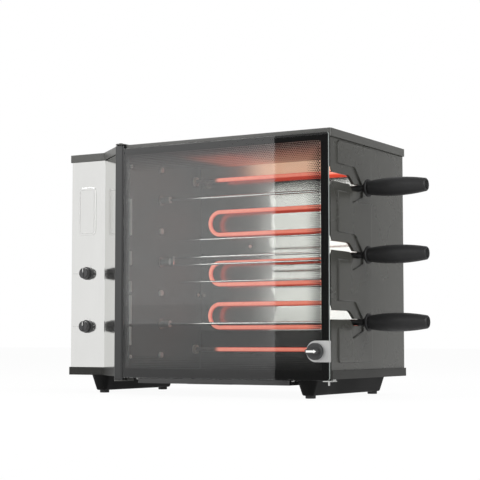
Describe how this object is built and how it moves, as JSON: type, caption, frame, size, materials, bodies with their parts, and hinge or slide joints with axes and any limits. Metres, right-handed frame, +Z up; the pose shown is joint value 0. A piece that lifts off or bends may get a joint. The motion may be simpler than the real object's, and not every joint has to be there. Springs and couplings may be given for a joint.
{
  "type": "electric skewer grill",
  "caption": "Upright electric grill with a side-hinged glass door, motor-turned horizontal skewers that load through side slots, a serpentine heater, a control column and a drip drawer.",
  "frame": {"origin": "on the ground under the feet, midway between the outer limits (handle ends, cover, door knob)", "axes": "+X to the right, along the skewers towards their handles; +Y to the back; +Z up"},
  "size_m": [0.7326, 0.3418, 0.4675],
  "materials": {
    "black_coat": "black-grey powder coat",
    "brushed_panel": "vertically brushed stainless steel",
    "lining_steel": "satin lining sheet",
    "mirror_steel": "polished reflector sheet",
    "dark_enamel": "dark enamel",
    "element_tube": "sheathed tube, glowing",
    "ceramic": "ceramic",
    "zinc_steel": "zinc-plated steel",
    "bright_steel": "polished steel",
    "sintered": "sintered bronze",
    "gear_nylon": "natural nylon",
    "black_plastic": "moulded black",
    "white_plastic": "white inlay",
    "tinted_glass": "grey tinted, printed border",
    "black_profile": "black coated extrusion",
    "die_cast": "die cast",
    "core_steel": "laminated core",
    "copper_wire": "enamelled winding",
    "foot_rubber": "moulded rubber"
  },
  "bodies": {
    "casing": {"base_pan": "black_coat", "top_cover": "black_coat", "right_side_wall": "black_coat", "left_side_wall": "black_coat", "rear_panel": "black_coat", "control_panel": "brushed_panel", "case_screws": "zinc_steel", "cord_gland": "black_plastic", "chamber_left_wall": "lining_steel", "back_reflector": "mirror_steel", "lower_guard": "dark_enamel", "chamber_ceiling": "lining_steel", "heating_element": "element_tube", "element_insulators": "ceramic", "element_support": "lining_steel", "gear_plate": "zinc_steel", "bearing_bushes": "sintered", "chamber_bolts": "bright_steel", "gearbox_case": "die_cast", "motor_stack": "core_steel", "motor_coil": "copper_wire", "hinge_brackets": "black_coat", "latch_strike": "zinc_steel", "door_rest": "zinc_steel", "switch_bodies": "black_plastic", "drawer_runners": "zinc_steel", "right_skid": "black_coat", "left_skid": "black_coat", "rubber_feet": "foot_rubber"},
    "door": {"door_glass": "tinted_glass", "hinge_profile": "black_profile", "profile_plugs": "black_plastic", "latch_plate": "bright_steel"},
    "latch": {"latch_knob": "black_plastic", "latch_pointer": "white_plastic", "latch_cam": "zinc_steel"},
    "drawer": {"drip_drawer": "black_coat"},
    "upper_control": {"upper_knob": "black_plastic", "upper_switch_shaft": "zinc_steel"},
    "lower_control": {"lower_knob": "black_plastic", "lower_switch_shaft": "zinc_steel"},
    "motor_output": {"motor_pinion": "zinc_steel"},
    "lower_idler": {"lower_idler_gear": "gear_nylon"},
    "upper_idler": {"upper_idler_gear": "gear_nylon"},
    "lower_drive": {"lower_spindle": "zinc_steel", "lower_gear": "gear_nylon"},
    "lower_skewer": {"lower_skewer_rod": "bright_steel", "lower_skewer_guard": "black_plastic", "lower_skewer_grip": "black_plastic"},
    "middle_drive": {"middle_spindle": "zinc_steel", "middle_gear": "gear_nylon"},
    "middle_skewer": {"middle_skewer_rod": "bright_steel", "middle_skewer_guard": "black_plastic", "middle_skewer_grip": "black_plastic"},
    "upper_drive": {"upper_spindle": "zinc_steel", "upper_gear": "gear_nylon"},
    "upper_skewer": {"upper_skewer_rod": "bright_steel", "upper_skewer_guard": "black_plastic", "upper_skewer_grip": "black_plastic"}
  },
  "joints": [
    {"name": "door_swing", "type": "hinge", "parent": "casing", "child": "door", "pos_m": [-0.19675, -0.14705, 0.249], "axis": [0, 0, -1], "range_deg": [0, 110]},
    {"name": "latch_turn", "type": "hinge", "parent": "door", "child": "latch", "pos_m": [0.21275, -0.15005, 0.0815], "axis": [0, -1, 0], "range_deg": [0, 90]},
    {"name": "drawer_slide", "type": "slide", "parent": "casing", "child": "drawer", "axis": [0, -1, 0], "range_m": [0, 0.23]},
    {"name": "upper_control_turn", "type": "hinge", "parent": "casing", "child": "upper_control", "pos_m": [-0.32375, -0.07655, 0.2305], "axis": [0, 1, 0], "range_deg": [0, 270]},
    {"name": "lower_control_turn", "type": "hinge", "parent": "casing", "child": "lower_control", "pos_m": [-0.32375, -0.07655, 0.1275], "axis": [0, 1, 0], "range_deg": [0, 270]},
    {"name": "middle_drive_spin", "type": "hinge", "parent": "casing", "child": "middle_drive", "pos_m": [-0.20125, -0.02705, 0.251], "axis": [1, 0, 0], "continuous": true},
    {"name": "lower_drive_spin", "type": "hinge", "parent": "casing", "child": "lower_drive", "pos_m": [-0.20125, -0.02705, 0.132], "axis": [1, 0, 0], "continuous": true},
    {"name": "upper_drive_spin", "type": "hinge", "parent": "casing", "child": "upper_drive", "pos_m": [-0.20125, -0.02705, 0.37], "axis": [1, 0, 0], "continuous": true},
    {"name": "lower_idler_spin", "type": "hinge", "parent": "casing", "child": "lower_idler", "pos_m": [-0.20125, -0.02705, 0.1915], "axis": [1, 0, 0], "continuous": true},
    {"name": "upper_idler_spin", "type": "hinge", "parent": "casing", "child": "upper_idler", "pos_m": [-0.20125, -0.02705, 0.3105], "axis": [1, 0, 0], "continuous": true},
    {"name": "motor_spin", "type": "hinge", "parent": "casing", "child": "motor_output", "pos_m": [-0.20125, 0.01758, 0.251], "axis": [1, 0, 0], "continuous": true},
    {"name": "lower_skewer_pull", "type": "slide", "parent": "lower_drive", "child": "lower_skewer", "axis": [1, 0, 0], "range_m": [0, 0.43]},
    {"name": "middle_skewer_pull", "type": "slide", "parent": "middle_drive", "child": "middle_skewer", "axis": [1, 0, 0], "range_m": [0, 0.03]},
    {"name": "upper_skewer_pull", "type": "slide", "parent": "upper_drive", "child": "upper_skewer", "axis": [1, 0, 0], "range_m": [0, 0.43]}
  ],
  "couplings": [
    {"joint": "lower_drive_spin", "follows": "middle_drive_spin", "ratio": 1},
    {"joint": "upper_drive_spin", "follows": "middle_drive_spin", "ratio": 1},
    {"joint": "lower_idler_spin", "follows": "middle_drive_spin", "ratio": -1},
    {"joint": "upper_idler_spin", "follows": "middle_drive_spin", "ratio": -1},
    {"joint": "motor_spin", "follows": "middle_drive_spin", "ratio": -2}
  ]
}
